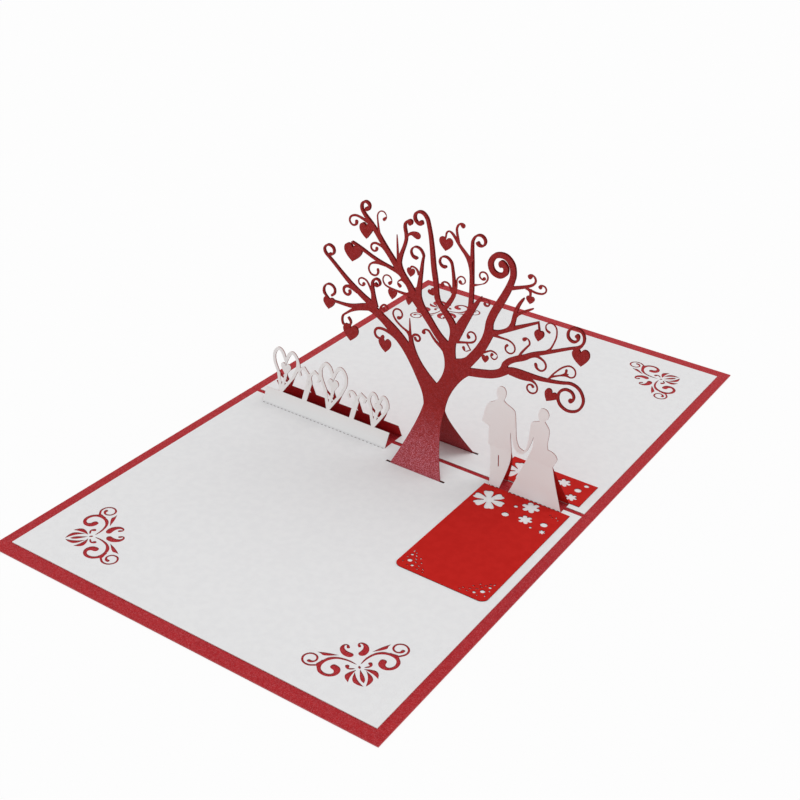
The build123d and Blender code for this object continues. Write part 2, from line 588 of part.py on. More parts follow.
def make_couple_back():
    """Red rear panel, with the couple's rear layer folded up from its inner edge."""
    path = foot_path(couple_foot_reach, liner_thickness + fold_lead, panel_level,
                     couple_join_height, couple_height + fold_lead, sheet_thickness)
    layer = standing_sheet(path, sheet_thickness, couple_outline())
    plate = panel_plate(rear_panel_depth, 0, rear_flower_shares, [])
    return to_rear(layer + plate)


nodes = {
    "outer_cover": make_cover(),
    "front_liner": make_front_liner(),
    "rear_liner": make_rear_liner(),
    "tree_front": tree_sheet(
        limb_shares + twig_shares, limb_heart_shares + twig_heart_shares),
    "tree_rear": to_rear(tree_sheet(limb_shares, limb_heart_shares)),
    "garland_back": make_strip_back(),
    "front_panel": make_front_panel(),
    "couple_back": make_couple_back(),
}

os.makedirs("parts", exist_ok=True)
for name, shape in nodes.items():
    solids = shape.solids()
    print(name, len(solids), "solids,", round(shape.volume, 1), "mm3")
    export_step(shape, f"parts/{name}.step")
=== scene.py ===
# %% [markdown]
# # A pop-up card, dressed for its picture
# The card is made of eight sheets. A red cover lies open, white liners are glued on its pages,
# and a tree, a garland and a small couple stand up on folded feet. The imported model holds every
# sheet at its real place. This lesson keeps those places and adds what paper shows from close by:
# curves as smooth as a laser cuts them, darker cut edges, a dotted crease, pearl and grain, with
# some light and shade painted into the colours.

# %% Load the frame
from math import atan2, degrees, hypot, radians

import bmesh
import bpy
from mathutils import Euler, Matrix, Vector


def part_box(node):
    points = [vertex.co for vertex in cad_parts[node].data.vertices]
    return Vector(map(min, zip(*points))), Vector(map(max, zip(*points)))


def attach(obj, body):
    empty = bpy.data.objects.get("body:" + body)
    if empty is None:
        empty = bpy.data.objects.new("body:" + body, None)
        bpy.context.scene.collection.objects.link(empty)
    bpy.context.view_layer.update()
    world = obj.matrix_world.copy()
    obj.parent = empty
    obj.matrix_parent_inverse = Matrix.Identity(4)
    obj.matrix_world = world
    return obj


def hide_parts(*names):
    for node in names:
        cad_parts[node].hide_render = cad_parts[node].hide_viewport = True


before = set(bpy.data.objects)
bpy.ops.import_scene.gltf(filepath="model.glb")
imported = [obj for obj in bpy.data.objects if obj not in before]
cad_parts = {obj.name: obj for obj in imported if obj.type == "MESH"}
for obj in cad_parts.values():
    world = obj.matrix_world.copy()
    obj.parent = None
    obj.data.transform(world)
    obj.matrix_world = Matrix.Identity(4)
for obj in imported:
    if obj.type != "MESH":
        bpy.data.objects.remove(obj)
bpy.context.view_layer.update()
mm = 0.001
print("sheets in the frame:", ", ".join(sorted(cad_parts)))

# %% [markdown]
# ## The camera
# A picture matches a photograph only if both are seen from the same place, so the camera
# comes first. The lens and the place follow from the card's four corners: four known points and
# their places in the photograph settle a camera. It rolls by a few degrees, because the card was
# photographed with the camera tipped a little to one side.

# %% Camera
photo_width = 800
photo_focal = 1298.2
sensor_width = 36
camera_place = (0.2370, -0.3978, 0.2877)
camera_azimuth = 31.454
camera_elevation = 29.678
camera_roll = 3.375

look = Euler((radians(90 - camera_elevation), 0, radians(camera_azimuth))).to_matrix()
look = look @ Matrix.Rotation(radians(camera_roll), 3, "Z")
bpy.ops.object.camera_add(location=camera_place, rotation=look.to_euler())
camera = bpy.context.object
camera.name = "card_view"
camera.data.sensor_width = sensor_width
camera.data.lens = photo_focal / photo_width * sensor_width
bpy.context.scene.camera = camera
print("lens", round(camera.data.lens, 2), "mm")

# %% [markdown]
# ## Sizes of the sheets
# Card stock has one thickness all over, so the height of a flat sheet's box is its thickness. The
# liner is heavier than the coloured sheets.

# %% Sizes
def height_of(node):
    low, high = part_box(node)
    return high[2] - low[2]


cover_thickness = height_of("outer_cover")
liner_thickness = height_of("rear_liner")
sheet_thickness = height_of("front_panel")
liner_top = cover_thickness + liner_thickness
panel_top = liner_top + sheet_thickness
stock = {"cover": cover_thickness, "liner": liner_thickness, "sheet": sheet_thickness}
print("thickness in mm:", {name: round(thickness / mm, 3) for name, thickness in stock.items()})

# %% [markdown]
# ## Working in edit mode
# Operators act on all that is selected, so each step starts from nothing selected and then picks
# faces, edges or corners by where they are. These helpers do what a hand does with the keys Tab,
# 1, 2 and 3.

# %% Helpers for edit mode
def only(*pieces):
    """Select these objects and no others, with the first one active."""
    bpy.ops.object.select_all(action="DESELECT")
    for piece in pieces:
        piece.select_set(True)
    bpy.context.view_layer.objects.active = pieces[0]


def edit(piece):
    only(piece)
    bpy.ops.object.mode_set(mode="EDIT")


def leave_edit():
    bpy.ops.object.mode_set(mode="OBJECT")


def pick(piece, kind, wanted):
    """Select the corners, edges or faces that wanted() accepts, and return how many."""
    bpy.ops.mesh.select_mode(type=kind)
    bpy.ops.mesh.select_all(action="DESELECT")
    cage = bmesh.from_edit_mesh(piece.data)
    parts = {"VERT": cage.verts, "EDGE": cage.edges, "FACE": cage.faces}[kind]
    chosen = [part for part in parts if wanted(part)]
    for part in chosen:
        part.select = True
    cage.select_flush_mode()
    bmesh.update_edit_mesh(piece.data)
    return len(chosen)


def pick_all(kind):
    bpy.ops.mesh.select_mode(type=kind)
    bpy.ops.mesh.select_all(action="SELECT")


loose_corners = sum(len(sheet.data.vertices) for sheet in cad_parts.values())
print("corners to pick from in the packed sheets:", loose_corners)

# %% [markdown]
# ## Lifting one side off a sheet
# A solid sheet has two sides and a rim. To smooth its outline it is enough to work on one side:
# the side is lifted off as a skin without thickness, reshaped, and made thick again at the end.
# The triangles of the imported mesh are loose, so they are merged before anything is deleted.

# %% Skins
merge_distance = 0.001 * mm
level_slack = 0.01 * mm
leaning_limit = 0.5
lying_limit = 0.9


def lifted_skin(node, name, wanted):
    """Copy a sheet and keep only the faces that wanted() accepts."""
    skin = bpy.data.objects.new(name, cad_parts[node].data.copy())
    bpy.context.collection.objects.link(skin)
    skin.data.materials.clear()
    only(skin)
    bpy.ops.mesh.customdata_custom_splitnormals_clear()
    edit(skin)
    pick_all("FACE")
    bpy.ops.mesh.remove_doubles(threshold=merge_distance)
    pick(skin, "FACE", lambda face: not wanted(face))
    bpy.ops.mesh.delete(type="FACE")
    leave_edit()
    return skin


def looks_to(side, level):
    """Accept a standing sheet's faces on one side, -1 front or 1 rear, above a level."""
    return lambda face: face.normal.y * side > leaning_limit and face.calc_center_median().z > level


def lies_at(level):
    """Accept the faces of a flat sheet's top side."""
    def wanted(face):
        return face.normal.z > lying_limit and abs(face.calc_center_median().z - level) < level_slack
    return wanted


print("corners closer than", merge_distance / mm, "mm become one")

# %% [markdown]
# ## Smooth curves from straight runs
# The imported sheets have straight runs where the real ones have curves, because a solid with every
# curve drawn finely would be heavy. A corner that turns only a little stands for a stretch of a
# curve, and so does a stronger one if the next corner goes on turning the same way, as along a
# curl, where the shortest runs may turn most. Any other sharp corner is a real tip or a notch.

# %% Which corners are curves
least_turn = 4
gentle_turn = 60
curl_turn = 89
curl_neighbour_turn = 30
tight_turn = 98
tight_run = 2.2 * mm


def neighbours(corner):
    return [edge.other_vert(corner) for edge in corner.link_edges]


def turn_at(before, corner, after):
    """Turn of a flat wire at a corner in degrees, positive one way round and negative the other."""
    run_in, run_out = corner.co - before.co, after.co - corner.co
    return degrees(atan2(sum(run_in.cross(run_out)), run_in.dot(run_out)))


def beyond(corner, before):
    """The corner that follows when a wire is walked from before to corner."""
    return next((other for other in neighbours(corner) if other != before), before)


def is_curve(corner):
    """Whether a wire's corner stands for a stretch of a curve, not for a real tip or notch."""
    if len(corner.link_edges) != 2:
        return False
    first, last = neighbours(corner)
    turn = turn_at(first, corner, last)
    if abs(turn) < gentle_turn:
        return abs(turn) > least_turn
    turn_before = turn_at(beyond(first, corner), first, corner)
    turn_after = turn_at(corner, last, beyond(last, corner))
    goes_on = max(other if turn > 0 else -other for other in (turn_before, turn_after))
    longest = max(edge.calc_length() for edge in corner.link_edges)
    sharpest = tight_turn if longest < tight_run else curl_turn
    return abs(turn) < sharpest and goes_on > curl_neighbour_turn


print("a curve's corner turns", least_turn, "to", gentle_turn, "degrees, or up to", curl_turn, "in a curl")

# %% [markdown]
# ## Fuller hearts
# A packed heart has straight sides, and the cut ones bulge. A heart's side is known by its three
# corners: a sharp tip, then a nearly straight corner and then a shoulder. The middle corner is
# moved out before the outline is rounded, and the tip is kept sharp. A side that runs into a
# branch stays as it is.

# %% Hearts
tip_turns = (88, 120)
shoulder_turns = (45, 78)
side_turn = 12
heart_bulge = 0.1


def turns_within(corner, low, high):
    """Whether a wire turns at a corner by low to high degrees, either way round."""
    if len(corner.link_edges) != 2:
        return False
    first, last = neighbours(corner)
    return low <= abs(turn_at(first, corner, last)) < high


def heart_sides(skin):
    """Moves for the middle corners of all hearts' sides, by corner, and the hearts' tips."""
    moves, tips = {}, set()
    for tip in bmesh.from_edit_mesh(skin.data).verts:
        if not turns_within(tip, *tip_turns):
            continue
        sides = neighbours(tip)
        for side, other in zip(sides, sides[::-1]):
            shoulder = beyond(side, tip)
            if turns_within(side, 0, side_turn) and turns_within(shoulder, *shoulder_turns):
                chord = shoulder.co - tip.co
                out = side.co - other.co
                out -= out.project(chord)
                moves[side.index] = out.normalized() * chord.length * heart_bulge
                tips.add(tip.index)
    return moves, tips


def fill_out_hearts(skin):
    """Bulge the hearts' sides, and return the tips, which stay sharp."""
    moves, tips = heart_sides(skin)
    for index, move in moves.items():
        pick(skin, "VERT", lambda corner: corner.index == index)
        bpy.ops.transform.translate(value=move)
    print(skin.name, "has", len(tips), "tips with fuller sides")
    return tips


print("a heart's tip turns", tip_turns[0], "to", tip_turns[1], "degrees")

# %% [markdown]
# ## From a skin to a wire and back
# The outline is left as a wire. Each corner of a curve is bevelled half-way along both its runs,
# and the wire is filled again. Bevelled like this, the straight runs become one curve that touches
# every run at its middle, and no place of the outline has to be typed in.

# %% Wires
wire_merge_distance = 0.05 * mm
crease_slack = 0.02 * mm
curve_steps = 4


def outline_wire(skin):
    """Leave only the outline of a flat skin."""
    pick_all("EDGE")
    bpy.ops.mesh.region_to_loop()
    bpy.ops.mesh.select_all(action="INVERT")
    bpy.ops.mesh.delete(type="EDGE")
    pick_all("VERT")
    bpy.ops.mesh.delete(type="ONLY_FACE")
    pick_all("VERT")
    bpy.ops.mesh.remove_doubles(threshold=wire_merge_distance)


def smooth_wire(skin, crease_level, tips=()):
    """Round a wire's curves, but no tip and nothing on the crease where a sheet is folded up."""
    lowest = crease_level + crease_slack
    curves = pick(skin, "VERT", lambda v: v.co.z > lowest and v.index not in tips and is_curve(v))
    bpy.ops.mesh.bevel(
        offset_type="PERCENT", offset_pct=50, segments=curve_steps, profile=0.5,
        affect="VERTICES", clamp_overlap=False)
    pick_all("VERT")
    bpy.ops.mesh.remove_doubles(threshold=2 * merge_distance)
    return curves


def fill_wire(skin, facing):
    """Fill a wire, holes left open, with all faces looking along facing."""
    pick_all("EDGE")
    bpy.ops.mesh.fill(use_beauty=True)
    pick(skin, "FACE", lambda face: face.normal.dot(facing) < 0)
    bpy.ops.mesh.flip_normals()


print("each rounded corner gets", curve_steps, "short runs")

# %% [markdown]
# ## Folding a sheet again
# A standing sheet leans from its foot to a fold and is upright above it. Its outline was cut while
# the sheet was flat, so the skin is pressed flat, smoothed and then folded again: it is cut along
# the fold with Bisect, and its lower part is stretched to its real length and turned about the fold.

# %% Standing skins
upright_limit = 0.99


def fold_lines(skin):
    """Places (y, z) of a standing skin's fold and of its foot."""
    upright = [face for face in skin.data.polygons if abs(face.normal.y) > upright_limit]
    corners = [skin.data.vertices[i].co for face in upright for i in face.vertices]
    fold = min(corners, key=lambda corner: corner.z)
    foot = min((vertex.co for vertex in skin.data.vertices), key=lambda corner: corner.z)
    return (fold.y, fold.z), (foot.y, foot.z)


def standing_skin(node, name, side, wanted, hearts=False):
    """One side of a standing sheet, with a smooth outline and its folds in place."""
    skin = lifted_skin(node, name, wanted)
    fold, foot = fold_lines(skin)
    centre = (0, *fold)
    edit(skin)
    pick_all("VERT")
    bpy.ops.transform.resize(value=(1, 0, 1), center_override=centre)
    outline_wire(skin)
    curves = smooth_wire(skin, foot[1], fill_out_hearts(skin) if hearts else ())
    fill_wire(skin, Vector((0, side, 0)))
    pick_all("FACE")
    bpy.ops.mesh.bisect(plane_co=centre, plane_no=(0, 0, 1))
    reach, rise = foot[0] - fold[0], fold[1] - foot[1]
    pick(skin, "VERT", lambda corner: corner.co.z < fold[1] - merge_distance)
    bpy.ops.transform.resize(value=(1, 1, hypot(reach, rise) / rise), center_override=centre)
    bpy.ops.transform.rotate(
        value=atan2(-reach, rise), orient_axis="X", center_override=centre)
    leave_edit()
    lowest = min((vertex.co for vertex in skin.data.vertices), key=lambda corner: corner.z)
    print(name, "curves", curves, "fold", [round(v / mm, 2) for v in fold],
          "foot", [round(v / mm, 2) for v in foot], "now", [round(v / mm, 2) for v in lowest])
    return skin


# %% [markdown]
# ## Thickness and cut edges
# Solidify gives a skin the thickness of its sheet, away from the side that was kept, and mitres it
# at the folds. A laser leaves the rim of a cut darker than the paper's face, so the rim gets a
# material of its own: the second slot of every sheet.

# %% Thickness
smooth_limit = radians(35)


def thickened(skin, thickness):
    """Give a skin its thickness, with a second material slot on the cut edges."""
    only(skin)
    wall = skin.modifiers.new("stock", "SOLIDIFY")
    wall.thickness = thickness
    wall.offset = -1
    wall.use_even_offset = True
    wall.material_offset_rim = 1
    for slot in ("face", "rim"):
        skin.data.materials.append(None)
    bpy.ops.object.modifier_apply(modifier=wall.name)
    bpy.ops.object.shade_smooth_by_angle(angle=smooth_limit)
    triangles = sum(len(face.vertices) - 2 for face in skin.data.polygons)
    print(skin.name, "has", triangles, "triangles")
    return skin


# %% [markdown]
# ## The tree
# Two red sheets make the tree. They stand back to back at the middle of the card and part below
# the waist into two leaning legs, one on each page. Each leg goes down through a slot in the liner
# and ends in a tab that is glued between liner and cover. The tab is drawn out of the foot's edge
# with Extrude, as a fold of the same sheet. Nothing holds the two crowns together, so the rear one
# leans back by a fraction of a degree and its curls show beside the front one's.

# %% Tree layers
rear_lean = 0.6


def lean_back(skin, side, turn):
    """Turn what stands above a skin's fold away from the other layer, by a few tenths of a degree."""
    fold, foot = fold_lines(skin)
    edit(skin)
    pick(skin, "VERT", lambda corner: corner.co.z > fold[1] + merge_distance)
    bpy.ops.transform.rotate(
        value=side * radians(turn), orient_axis="X", center_override=(0, *fold))
    leave_edit()
    reach = max(abs(vertex.co.y) for vertex in skin.data.vertices if vertex.co.z > fold[1])
    print(skin.name, "stands", round(reach / mm, 2), "mm off the middle at its top")


def glue_tab(skin, side, tab_end):
    """Draw a tab out of a skin's foot, flat along the page, as far as tab_end."""
    foot = min(vertex.co.z for vertex in skin.data.vertices)
    edit(skin)
    pick(skin, "EDGE", lambda edge: all(v.co.z < foot + merge_distance for v in edge.verts))
    cage = bmesh.from_edit_mesh(skin.data)
    edge_y = next(v.co.y for v in cage.verts if v.select)
    bpy.ops.mesh.extrude_region_move(
        TRANSFORM_OT_translate={"value": (0, tab_end - edge_y, 0)})
    leave_edit()


def tree_layer(node, name, side, turn):
    """A layer of the tree, side -1 front or 1 rear, with its crown leaning back by turn degrees."""
    layer = standing_skin(node, name, side, looks_to(side, liner_top), hearts=True)
    lean_back(layer, side, turn)
    low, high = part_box(node)
    glue_tab(layer, side, low[1] if side < 0 else high[1])
    return thickened(layer, sheet_thickness)


front_tree = tree_layer("tree_front", "front_tree_layer", -1, 0)
rear_tree = tree_layer("tree_rear", "rear_tree_layer", 1, rear_lean)

# %% [markdown]
# ## Fine openings
# The smallest cuts are left to this file: the dashes that let a thick sheet fold in a straight
# line, and tiny leaves cut in the panel's corners. Each is a small ring of edges, laid into a
# sheet's wire before that is filled, so the fill leaves it open.

# %% Fine openings
ring_corners = 8
dash_pitch = 1.96 * mm
dash_length = 1.2 * mm
dash_width = 0.28 * mm


def cut_ring(centre, length, width, turn):
    """Lay one oval ring of edges into the wire that is being edited."""
    bpy.ops.mesh.primitive_circle_add(vertices=ring_corners, radius=0.5, location=centre)
    bpy.ops.transform.resize(value=(length, width, 1), center_override=centre)
    bpy.ops.transform.rotate(value=radians(turn), orient_axis="Z", center_override=centre)


def dashes(left, right, y):
    """Openings of a perforated line: place, length, width and turn of each."""
    count = round((right - left) / dash_pitch)
    step = (right - left) / count
    return [(left + (i + 0.5) * step, y, dash_length, dash_width, 0) for i in range(count)]


print("a line of 60 mm gets", len(dashes(0, 60 * mm, 0)), "dashes")

# %% [markdown]
# ## Flat sheets
# A liner or a panel is smoothed in the same way, but it already lies flat. Layers that stand up
# out of a flat sheet are joined with it before it gets its thickness, so that Solidify mitres the
# crease between them too.

# %% Flat skins
def flat_skin(node, name, level, openings=()):
    """Top side of a flat sheet, with smooth cut-outs and the fine openings."""
    skin = lifted_skin(node, name, lies_at(level))
    edit(skin)
    outline_wire(skin)
    curves = smooth_wire(skin, 0)
    for x, y, length, width, turn in openings:
        cut_ring((x, y, level), length, width, turn)
    fill_wire(skin, Vector((0, 0, 1)))
    leave_edit()
    print(name, "curves", curves, "fine openings", len(openings))
    return skin


def folded_sheet(plate, layers, thickness):
    """Join layers that stand up out of a plate with the plate, as one folded sheet."""
    only(plate, *layers)
    bpy.ops.object.join()
    edit(plate)
    pick_all("VERT")
    bpy.ops.mesh.remove_doubles(threshold=5 * merge_distance)
    leave_edit()
    return thickened(plate, thickness)


rear_liner = thickened(flat_skin("rear_liner", "rear_liner_sheet", liner_top), liner_thickness)

# %% [markdown]
# ## The flower panel
# Besides its flowers the front panel has a sprig of tiny leaves in each outer corner, and a few
# more near its inner right corner. A leaf is given by its distances from the corner, its length
# and its turn, in millimetres and degrees, and the left corner's leaves are the right one's
# mirrored.

# %% Flower panel
leaf_width = 0.45 * mm
outer_leaves = (
    (2.2, 11.2, 1.5, 100), (3.5, 10.6, 1.2, 145), (4.5, 9.0, 1.4, 130), (1.9, 6.9, 1.1, 75),
    (5.4, 7.3, 1.5, 150), (6.6, 8.6, 1.1, 115), (6.3, 5.6, 1.5, 165), (8.2, 6.4, 1.1, 140),
    (4.5, 2.4, 1.1, 15), (8.4, 4.3, 1.4, 160), (8.7, 2.5, 1.5, 175), (10.7, 3.4, 1.3, 155),
    (11.4, 2.0, 1.2, 5), (2.0, 3.6, 1.0, 60),
)
inner_leaves = (
    (2.4, 5.6, 1.2, 110), (3.7, 4.4, 1.1, 60), (5.2, 5.2, 1.2, 20), (6.4, 4.2, 1.0, 140),
)
panel_low, panel_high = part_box("front_panel")


def leaf(corner_x, corner_y, side, end, shape):
    """One leaf, side and end being the ways into the panel from its corner."""
    x, y, length, turn = shape
    return (corner_x + side * x * mm, corner_y + end * y * mm, length * mm, leaf_width, -side * turn)


leaves = [leaf(panel_high[0], panel_low[1], -1, 1, shape) for shape in outer_leaves]
leaves += [leaf(panel_low[0], panel_low[1], 1, 1, shape) for shape in outer_leaves]
leaves += [leaf(panel_high[0], panel_high[1], -1, -1, shape) for shape in inner_leaves]
front_panel = flat_skin("front_panel", "flower_panel_front", panel_top, leaves)
thickened(front_panel, sheet_thickness)

# %% [markdown]
# ## The front liner
# The garland and the white couple are cut in the liner itself and folded up, so the liner, the
# garland and the couple are one sheet. A perforated line lies just in front of each crease.

# %% Front liner
garland_inset = 0.22 * mm
couple_inset = 0.15 * mm


def beside(side, level, sign):
    """Accept a standing layer's front faces on one half of the card, sign -1 left or 1 right."""
    front = looks_to(side, level)
    return lambda face: front(face) and face.calc_center_median().x * sign > 0


def crease_line(layer, inset):
    """Dashes in front of the crease that a standing layer is folded up along."""
    corners = [vertex.co for vertex in layer.data.vertices]
    foot = min(corner.z for corner in corners)
    crease = [corner for corner in corners if corner.z < foot + 2 * merge_distance]
    ends = sorted(corner.x for corner in crease)
    return dashes(ends[0], ends[-1], crease[0].y - inset)


garland = standing_skin("front_liner", "garland", -1, beside(-1, liner_top, -1))
couple = standing_skin("front_liner", "couple", -1, beside(-1, liner_top, 1))
garland_dashes = crease_line(garland, garland_inset)
couple_dashes = crease_line(couple, couple_inset)
liner_plate = flat_skin(
    "front_liner", "front_liner_sheet", liner_top, garland_dashes + couple_dashes)
front_liner = folded_sheet(liner_plate, [garland, couple], liner_thickness)

# %% [markdown]
# ## Red layers behind
# A red strip stands behind the garland, and a red couple behind the white one. The strip ends in a
# glue tab under the rear liner. The red couple is folded up out of the panel that lies on it.

# %% Red layers
garland_strip = standing_skin("garland_back", "garland_red_strip", 1, looks_to(1, liner_top))
glue_tab(garland_strip, 1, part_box("garland_back")[1][1])
thickened(garland_strip, sheet_thickness)

rear_panel = flat_skin("couple_back", "couple_red_layer", panel_top)
red_couple = standing_skin("couple_back", "red_couple", 1, looks_to(1, panel_top))
rear_panel = folded_sheet(rear_panel, [red_couple], sheet_thickness)

# %% [markdown]
# ## Sums with numbers that change
# A material is a small program of nodes. Written node by node it is hard to read. So a small class
# wraps a number that changes over the surface, and lets it stand in a sum or a product like any
# other number. Each sum or product adds its Math node.

# %% Tones
def abilities(kind):
    """The names of what a class can do."""
    return ", ".join(name for name in vars(kind) if not name.startswith("_"))


class Tone:
    """A number that changes over a surface. Sums, products and the like add Math nodes."""

    def __init__(self, net, socket):
        self.net = net
        self.socket = socket

    def maths(self, operation, *terms):
        node = self.net.node("ShaderNodeMath", {"operation": operation}, dict(enumerate(terms)))
        return Tone(self.net, node.outputs[0])

    def __add__(self, other):
        return self.maths("ADD", self, other)

    def __radd__(self, other):
        return self.maths("ADD", other, self)

    def __sub__(self, other):
        return self.maths("SUBTRACT", self, other)

    def __rsub__(self, other):
        return self.maths("SUBTRACT", other, self)

    def __mul__(self, other):
        return self.maths("MULTIPLY", self, other)

    def __rmul__(self, other):
        return self.maths("MULTIPLY", other, self)

    def __abs__(self):
        return self.maths("ABSOLUTE", self)

    def at_least(self, other):
        return self.maths("MAXIMUM", self, other)

    def zigzag(self, step):
        """A number that runs from 0 up to step and back again, over and over."""
        return self.maths("PINGPONG", self, step)

    def rises(self, low, high):
        """0 below low, 1 above high and a soft rise between."""
        node = self.net.node(
            "ShaderNodeMapRange", {"interpolation_type": "SMOOTHSTEP"},
            {"Value": self, "From Min": low, "From Max": high})
        return Tone(self.net, node.outputs[0])


print("besides + - * and abs, a tone has", abilities(Tone))

# %% [markdown]
# ## One way to add a node
# A material's nodes and the world's are added in the same way: first the node's settings, then a
# value or a link for each of its sockets. The class for them has one method that adds any node.

# %% Nets
class Net:
    """The nodes of a material or of the world, with the one method that adds a node."""

    def __init__(self, tree):
        self.tree = tree

    def node(self, kind, settings=None, sockets=None):
        """Add a node: its settings first, then a value or a link for each socket."""
        node = self.tree.nodes.new(kind)
        for name, value in (settings or {}).items():
            setattr(node, name, value)
        self.set(node, sockets or {})
        return node

    def set(self, node, sockets):
        """Give each socket its value, or its link if the value comes from another node."""
        for name, value in sockets.items():
            source = value.socket if isinstance(value, Tone) else value
            if isinstance(source, bpy.types.NodeSocket):
                self.tree.links.new(source, node.inputs[name])
            else:
                node.inputs[name].default_value = source

    def seen_directly(self):
        """1 for what the camera or a reflection sees, 0 for the light that falls on things."""
        rays = self.node("ShaderNodeLightPath").outputs
        seen = Tone(self, rays["Is Camera Ray"]).at_least(Tone(self, rays["Is Glossy Ray"]))
        return seen.at_least(Tone(self, rays["Is Transmission Ray"]))


print("a net has", abilities(Net))

# %% [markdown]
# ## What all finishes share
# Every finish of the card is a Principled shader whose colour changes over the surface. Patterns
# read the Object coordinates, so they stay on a sheet when the card is moved and run on over its
# folds. Further colours are painted over the first one where a mask is 1.

# %% Finishes
class Finish(Net):
    """A material's nodes, with its shader and the surface's own coordinates at hand."""

    def __init__(self, name, roughness, metallic=0.0, gloss=0.5):
        self.material = bpy.data.materials.new(name)
        self.material.use_nodes = True
        super().__init__(self.material.node_tree)
        self.shader = self.tree.nodes["Principled BSDF"]
        self.set(self.shader, {
            "Roughness": roughness, "Metallic": metallic, "Specular IOR Level": gloss})
        coordinates = self.node("ShaderNodeTexCoord").outputs
        self.place = coordinates["Object"]
        self.facing = coordinates["Normal"]

    def axes(self, vector=None):
        """A vector as three numbers: the surface's place, if no other is given."""
        split = self.node("ShaderNodeSeparateXYZ", {}, {0: vector or self.place})
        return [Tone(self, socket) for socket in split.outputs]

    def noise(self, scale, detail=2.0):
        node = self.node("ShaderNodeTexNoise", {}, {
            "Vector": self.place, "Scale": scale, "Detail": detail})
        return Tone(self, node.outputs[0])

    def mix(self, share, first, second):
        """A colour between two colours."""
        node = self.node("ShaderNodeMix", {"data_type": "RGBA"}, {0: share, 6: first, 7: second})
        return node.outputs[2]

    def paint(self, mask, over):
        """Paint a colour over the surface's present one where the mask is 1."""
        present = self.shader.inputs["Base Color"].links[0].from_socket
        self.set(self.shader, {"Base Color": self.mix(mask, present, over)})

    def bump(self, height, depth):
        node = self.node("ShaderNodeBump", {}, {"Height": height, "Distance": depth})
        self.set(self.shader, {"Normal": node.outputs["Normal"]})


def colour(red, green, blue):
    return (red, green, blue, 1.0)


def count_nodes(*finishes):
    """Print how many nodes each finish is made of."""
    for finish in finishes:
        print(finish.material.name, "is made of", len(finish.tree.nodes), "nodes")


print("a finish has", abilities(Finish))

# %% [markdown]
# ## Pearl card
# The cover and the tree are cut from pearlescent card: a deep red with fine mica flakes in its
# coating, which give it a silky glow and a fine sparkle. A part of the shine is metallic, and each
# flake, about a fifth of a millimetre wide, is a little lighter and tipped a little differently.
# Flakes show most where the card leans back and meets the light, and lay a pink bloom over it.
# This bloom and the sparkle are a painted highlight, a pink mixed into the colour by how high a
# face is and which way it looks, so the tree's upright crown is calmer and browner than its legs,
# and so are the legs' undersides. The strip behind the garland has few flakes and a purer red.

# %% Pearl card
flake_size = 0.18 * mm
fibre_size = 1.4 * mm
cloud_limits = (0.3, 0.7)
pearl_gloss = 0.03
pearl_metal = 0.25
pearl_roughness = 0.56
flake_polish = 0.14
flake_tilt = 0.4
pearl_relief = 0.01 * mm
even_shine = 0.06
flake_shine = 0.4
spark_shine = 0.2
bright_flakes = (0.4, 1.0)
sparks = (0.9, 0.93)
crown_sheen_share = 0.166
calm_rise_shares = (0.1, 1.1)
underside_sheen_cut = 0.6
underside_limits = (-0.2, 0.0)
crown_level = 24 * mm


def pearl_card(name, dark, light, painted_sheen_colour, glow, sheen_calms_above=None):
    """Pearl card with a painted pink sheen as strong as glow, weaker above the crown's height if given."""
    finish = Finish(name, pearl_roughness, pearl_metal, pearl_gloss)
    flakes = finish.node("ShaderNodeTexVoronoi", {}, {"Vector": finish.place, "Scale": 1 / flake_size})
    tint = finish.node("ShaderNodeSeparateColor", {}, {0: flakes.outputs["Color"]})
    flake = Tone(finish, tint.outputs[0])
    cloud = finish.noise(1 / fibre_size)
    # Painted highlight: a pink sheen and sparks mixed into the colour where flakes are bright.
    painted_sheen = even_shine + flake_shine * flake.rises(*bright_flakes) + spark_shine * flake.rises(*sparks)
    painted_sheen = glow * painted_sheen
    # On the tree the painted sheen is weaker on the upright crown and on faces that look down.
    if sheen_calms_above:
        height = finish.axes()[2]
        crown = height.rises(*(share * sheen_calms_above for share in calm_rise_shares))
        underside = 1 - finish.axes(finish.facing)[2].rises(*underside_limits)
        painted_sheen = painted_sheen * (1 - (1 - crown_sheen_share) * crown) * (1 - underside_sheen_cut * underside)
    ground = finish.mix(cloud.rises(*cloud_limits), dark, light)
    finish.set(finish.shader, {
        "Base Color": finish.mix(painted_sheen, ground, painted_sheen_colour),
        "Roughness": pearl_roughness - flake_polish * flake,
    })
    finish.bump(flake * flake_tilt + cloud, pearl_relief)
    return finish


# The third colour of each card is the pink of its painted sheen.
cover_pearl = pearl_card(
    "cover_pearl", colour(0.35, 0.008, 0.012), colour(0.41, 0.012, 0.016), colour(0.62, 0.15, 0.17),
    0.83)
tree_pearl = pearl_card(
    "tree_pearl", colour(0.28, 0.014, 0.010), colour(0.34, 0.019, 0.014), colour(0.64, 0.22, 0.28),
    2.0, crown_level)
strip_pearl = pearl_card(
    "strip_pearl", colour(0.46, 0.011, 0.012), colour(0.53, 0.015, 0.015), colour(0.66, 0.20, 0.24),
    0.4)
count_nodes(cover_pearl, tree_pearl, strip_pearl)

# %% [markdown]
# ## The cover's edges and slots
# The cover keeps its imported mesh, so its paler cut edge is painted by place: whatever lies at the
# outline. Inside the slots for the tree's feet and the perforated lines lies shade, so the cover
# gets a strip of near-black painted shade below each. The liners hide the rest of these strips.

